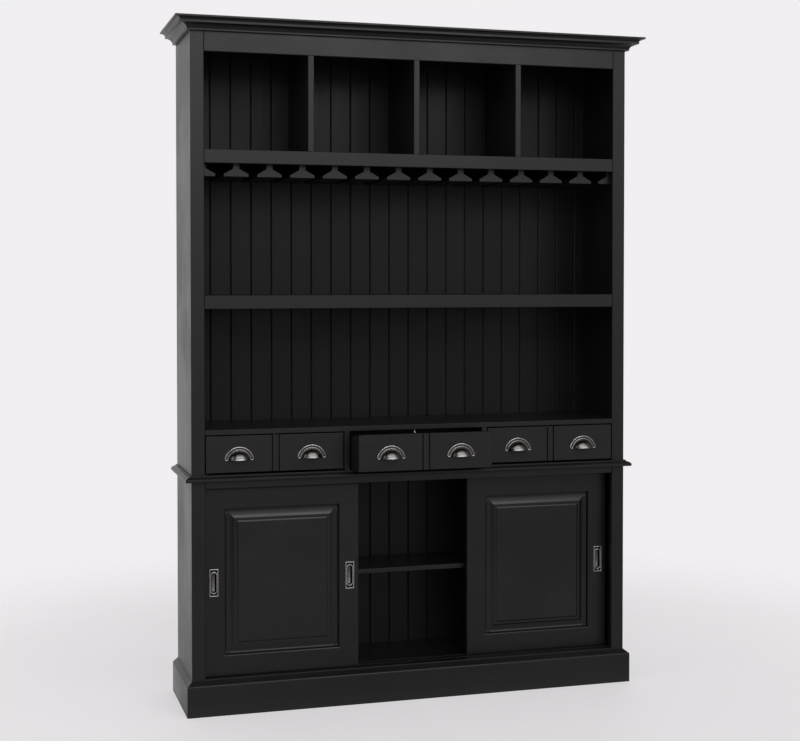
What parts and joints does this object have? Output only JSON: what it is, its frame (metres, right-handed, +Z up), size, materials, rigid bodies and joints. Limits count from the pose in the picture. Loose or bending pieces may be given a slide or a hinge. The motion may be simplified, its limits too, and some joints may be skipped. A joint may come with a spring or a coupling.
{
  "type": "bar armoire",
  "caption": "Tall painted bar armoire: base with sliding panelled doors, drawers with cup pulls, open shelves, a hanging stemware rack and bottle niches under a cornice.",
  "frame": {"origin": "on the floor at mid width, in the front plane of the face frames", "axes": "+X to the right seen from the front, +Y to the back, +Z up"},
  "size_m": [1.588, 0.447, 2.2],
  "materials": {
    "black_paint": "satin black paint on wood",
    "antique_metal": "antique, worn bright on edges",
    "pin_steel": "plain"
  },
  "bodies": {
    "carcass": {"base_back_boards": "black_paint", "base_bottom": "black_paint", "base_shelf": "black_paint", "base_side_left": "black_paint", "base_side_right": "black_paint", "base_stile_left": "black_paint", "base_stile_right": "black_paint", "base_top": "black_paint", "base_top_rail": "black_paint", "cornice_front": "black_paint", "cornice_left": "black_paint", "cornice_right": "black_paint", "counter": "black_paint", "door_track_bottom": "black_paint", "door_track_top": "black_paint", "drawer_dividers": "black_paint", "drawer_runners": "black_paint", "hutch_back_boards": "black_paint", "hutch_side_left": "black_paint", "hutch_side_right": "black_paint", "hutch_stile_left": "black_paint", "hutch_stile_right": "black_paint", "hutch_top": "black_paint", "hutch_top_rail": "black_paint", "middle_shelf": "black_paint", "middle_shelf_lip": "black_paint", "niche_dividers": "black_paint", "niche_shelf": "black_paint", "niche_shelf_lip": "black_paint", "plinth_front": "black_paint", "plinth_left": "black_paint", "plinth_right": "black_paint", "shelf_pins": "pin_steel", "stemware_rails": "black_paint", "waist_front": "black_paint", "waist_left": "black_paint", "waist_right": "black_paint"},
    "drawer_left": {"drawer_left_back": "black_paint", "drawer_left_bottom": "black_paint", "drawer_left_front": "black_paint", "drawer_left_pulls": "antique_metal", "drawer_left_sides": "black_paint"},
    "drawer_middle": {"drawer_middle_back": "black_paint", "drawer_middle_bottom": "black_paint", "drawer_middle_front": "black_paint", "drawer_middle_pulls": "antique_metal", "drawer_middle_sides": "black_paint"},
    "drawer_right": {"drawer_right_back": "black_paint", "drawer_right_bottom": "black_paint", "drawer_right_front": "black_paint", "drawer_right_pulls": "antique_metal", "drawer_right_sides": "black_paint"},
    "door_left": {"door_left_panel": "black_paint", "door_left_pulls": "antique_metal", "door_left_rails": "black_paint", "door_left_stiles": "black_paint"},
    "door_right": {"door_right_panel": "black_paint", "door_right_pulls": "antique_metal", "door_right_rails": "black_paint", "door_right_stiles": "black_paint"}
  },
  "joints": [
    {"name": "drawer_left_slide", "type": "slide", "parent": "carcass", "child": "drawer_left", "axis": [0, -1, 0], "range_m": [0, 0.2]},
    {"name": "drawer_middle_slide", "type": "slide", "parent": "carcass", "child": "drawer_middle", "axis": [0, -1, 0], "range_m": [-0.103, 0.097]},
    {"name": "drawer_right_slide", "type": "slide", "parent": "carcass", "child": "drawer_right", "axis": [0, -1, 0], "range_m": [0, 0.2]},
    {"name": "door_left_slide", "type": "slide", "parent": "carcass", "child": "door_left", "axis": [1, 0, 0], "range_m": [0, 0.891]},
    {"name": "door_right_slide", "type": "slide", "parent": "carcass", "child": "door_right", "axis": [1, 0, 0], "range_m": [-0.891, 0]}
  ]
}
